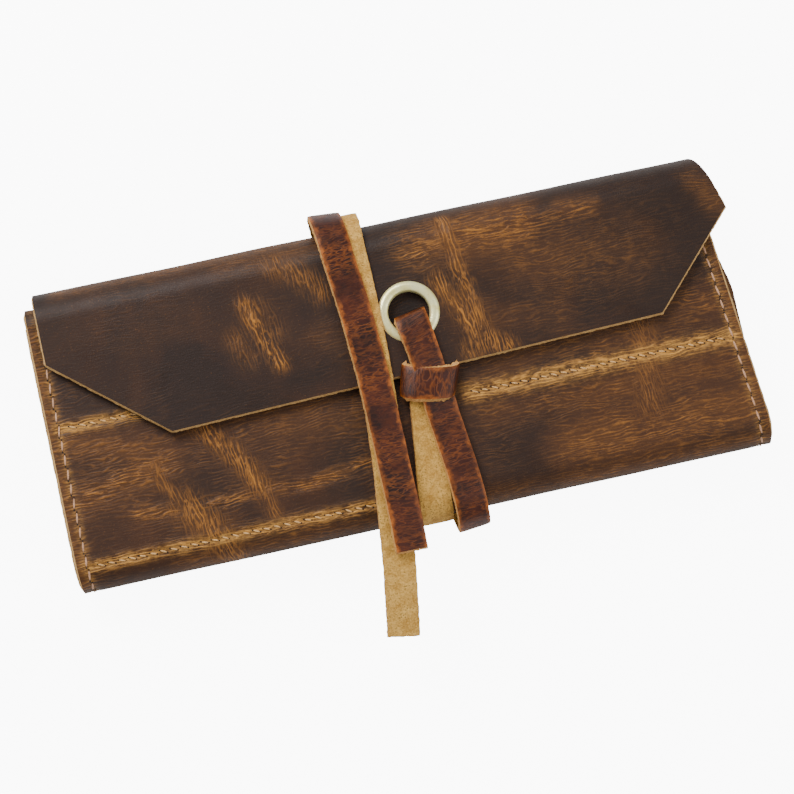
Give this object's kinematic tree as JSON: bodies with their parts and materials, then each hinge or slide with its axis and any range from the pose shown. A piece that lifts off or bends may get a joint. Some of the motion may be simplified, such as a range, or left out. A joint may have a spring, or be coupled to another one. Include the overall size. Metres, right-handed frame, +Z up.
{
  "type": "brush roll case",
  "caption": "Leather brush roll rolled flat, with a chamfered flap, grommet and wrap-around tie strap, and stitched brush pockets inside.",
  "frame": {"origin": "underside of the strap run that the roll lies on, under the middle of the case", "axes": "+X along the roll, +Y towards the fold that the flap comes over, +Z up through the flap"},
  "size_m": [0.2835, 0.1716, 0.0357],
  "materials": {
    "wrap_leather": "waxed pull-up hide, satin, scuffed",
    "pocket_leather": "thin split, suede face",
    "strap_leather": "smooth, waxed",
    "suede_strap": "raw suede side",
    "thread": "waxed sewing thread",
    "grommet": "pale antique, polished"
  },
  "bodies": {
    "roll": {"back_panel": "wrap_leather", "bottom_fold": "wrap_leather", "front_panel": "wrap_leather", "inner_fold": "wrap_leather", "inner_panel": "wrap_leather", "left_pockets_front": "pocket_leather", "left_pockets_inner": "pocket_leather", "left_pockets_back": "pocket_leather", "right_pockets_front": "pocket_leather", "right_pockets_inner": "pocket_leather", "right_pockets_back": "pocket_leather", "left_edge_stitching": "thread", "right_edge_stitching": "thread", "left_divider_stitching": "thread", "right_divider_stitching": "thread", "strap_inner_under": "suede_strap", "strap_outer_under": "strap_leather"},
    "fold": {"top_fold": "wrap_leather", "strap_inner_over": "suede_strap", "strap_outer_over": "strap_leather"},
    "flap": {"flap_panel": "wrap_leather", "grommet_face": "grommet", "grommet_washer": "grommet", "tie_loop": "strap_leather", "tie_knot": "strap_leather"},
    "outer_end": {"strap_outer_end": "strap_leather"},
    "inner_end": {"strap_inner_end": "suede_strap"},
    "smooth_tail": {"tail_smooth": "strap_leather"},
    "suede_tail": {"tail_suede": "suede_strap"}
  },
  "joints": [
    {"name": "flap_fold_lower", "type": "hinge", "parent": "roll", "child": "fold", "pos_m": [0, 0.05544, 0.00776], "axis": [-1, 0, 0], "range_deg": [0, 90], "deforming": ["strap_inner_over", "strap_outer_over"]},
    {"name": "flap_fold_upper", "type": "hinge", "parent": "fold", "child": "flap", "pos_m": [0, 0.05544, 0.02794], "axis": [-1, 0, 0], "range_deg": [0, 90]},
    {"name": "outer_end_lift", "type": "hinge", "parent": "flap", "child": "outer_end", "pos_m": [0, 0.047, 0.0357], "axis": [-1, 0, 0], "range_deg": [0, 150]},
    {"name": "inner_end_lift", "type": "hinge", "parent": "flap", "child": "inner_end", "pos_m": [0, 0.047, 0.0357], "axis": [-1, 0, 0], "range_deg": [0, 150]},
    {"name": "smooth_tail_lift", "type": "hinge", "parent": "flap", "child": "smooth_tail", "pos_m": [0, -0.0159, 0.031], "axis": [-1, 0, 0], "range_deg": [0, 90]},
    {"name": "suede_tail_lift", "type": "hinge", "parent": "flap", "child": "suede_tail", "pos_m": [0, -0.0159, 0.031], "axis": [-1, 0, 0], "range_deg": [0, 90]}
  ],
  "couplings": [
    {"joint": "flap_fold_upper", "follows": "flap_fold_lower", "ratio": 1},
    {"joint": "inner_end_lift", "follows": "outer_end_lift", "ratio": 0.9},
    {"joint": "suede_tail_lift", "follows": "smooth_tail_lift", "ratio": 0.85}
  ]
}
